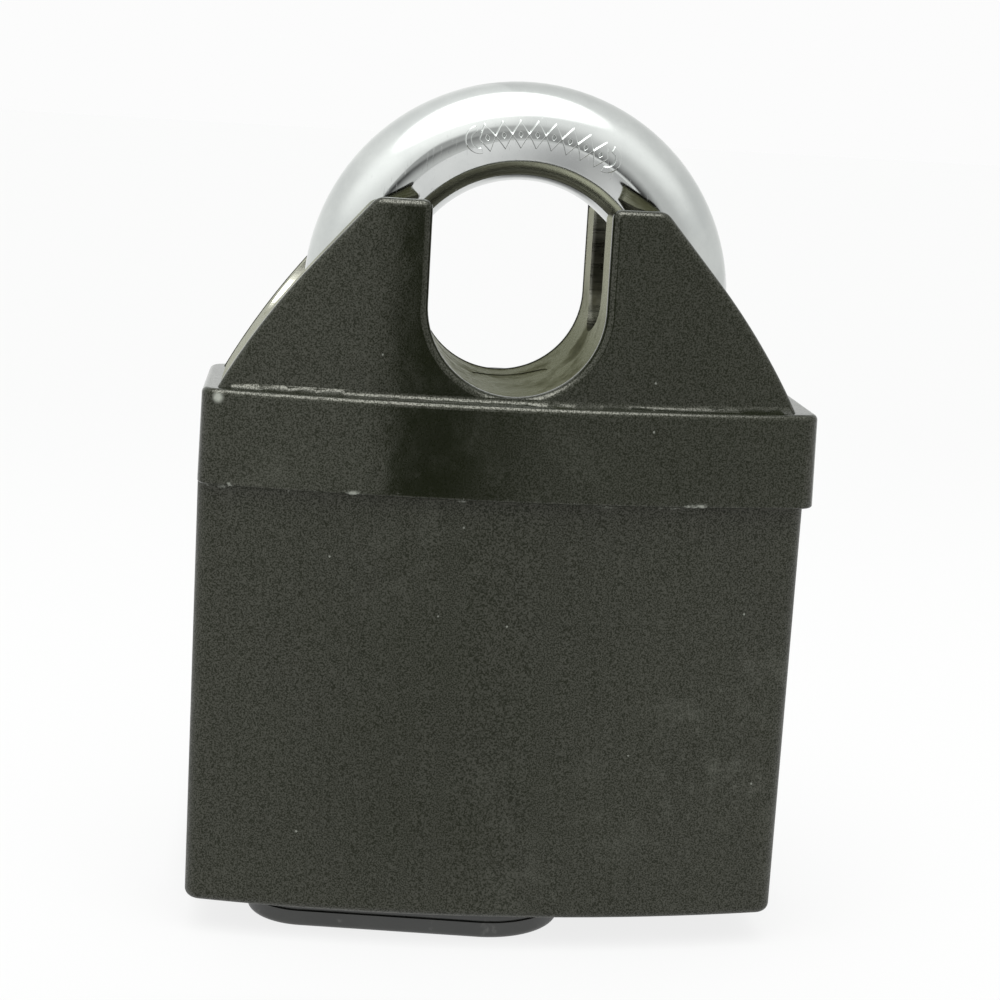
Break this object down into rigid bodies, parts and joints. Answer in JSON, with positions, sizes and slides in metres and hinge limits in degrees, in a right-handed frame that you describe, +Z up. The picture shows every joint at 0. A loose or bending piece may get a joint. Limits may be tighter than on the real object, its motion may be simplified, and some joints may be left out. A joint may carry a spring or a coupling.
{
  "type": "padlock",
  "caption": "Heavy closed-shackle padlock: hardened block in a plastic jacket, round chrome bow between sloping horns, ball locking, disc cylinder and swinging keyway cover.",
  "frame": {"origin": "on the key cylinder's axis, in the plane the lock stands on, which is the underside of the keyway cover", "axes": "+Z up along the shackle's travel, +X towards the shackle's heel leg, -Y towards the front face"},
  "size_m": [0.0842, 0.0344, 0.1195],
  "materials": {
    "jacket": "moulded, fine grain",
    "hardened_steel": "milled and worn",
    "shackle_chrome": "polished chrome plate",
    "ball_steel": "polished",
    "cover_black": "semi-matt black",
    "pin_steel": "ground",
    "cylinder_brass": "machined",
    "seal_rubber": "matt"
  },
  "bodies": {
    "case": {"boss_screws": "pin_steel", "cover_pivot": "pin_steel", "cover_washer": "pin_steel", "cross_bore_plug": "pin_steel", "cylinder_housing": "cylinder_brass", "cylinder_lock_pins": "pin_steel", "drill_guard": "hardened_steel", "drum_circlip": "pin_steel", "heel_stop_pin": "pin_steel", "keyway_boss": "cover_black", "lock_block": "hardened_steel", "lower_sleeve": "jacket", "notch_plug": "hardened_steel", "shackle_seals": "seal_rubber", "thrust_washer": "pin_steel", "top_cover": "jacket"},
    "shackle": {"shackle": "shackle_chrome"},
    "key_drum": {"disc_drum": "cylinder_brass", "entry_disc": "hardened_steel", "code_discs": "cylinder_brass", "disc_spacers": "pin_steel", "sidebar": "pin_steel", "ball_driver": "pin_steel"},
    "toe_ball": {"toe_ball": "ball_steel"},
    "heel_ball": {"heel_ball": "ball_steel"},
    "keyway_cover": {"keyway_cover": "cover_black"}
  },
  "joints": [
    {"name": "shackle_lift", "type": "slide", "parent": "case", "child": "shackle", "axis": [0, 0, 1], "range_m": [0, 0.047]},
    {"name": "key_turn", "type": "hinge", "parent": "case", "child": "key_drum", "pos_m": [0, 0, 0.035], "axis": [0, 0, 1], "range_deg": [0, 90]},
    {"name": "toe_ball_slide", "type": "slide", "parent": "case", "child": "toe_ball", "axis": [-1, 0, 0], "range_m": [0, 0.00255]},
    {"name": "heel_ball_slide", "type": "slide", "parent": "case", "child": "heel_ball", "axis": [1, 0, 0], "range_m": [0, 0.00255]},
    {"name": "cover_swing", "type": "hinge", "parent": "case", "child": "keyway_cover", "pos_m": [-0.0255, 0, 0], "axis": [0, 0, 1], "range_deg": [0, 120]}
  ],
  "couplings": [
    {"joint": "toe_ball_slide", "follows": "key_turn", "m_per_rad": 0.0016233},
    {"joint": "heel_ball_slide", "follows": "key_turn", "m_per_rad": 0.0016233}
  ]
}
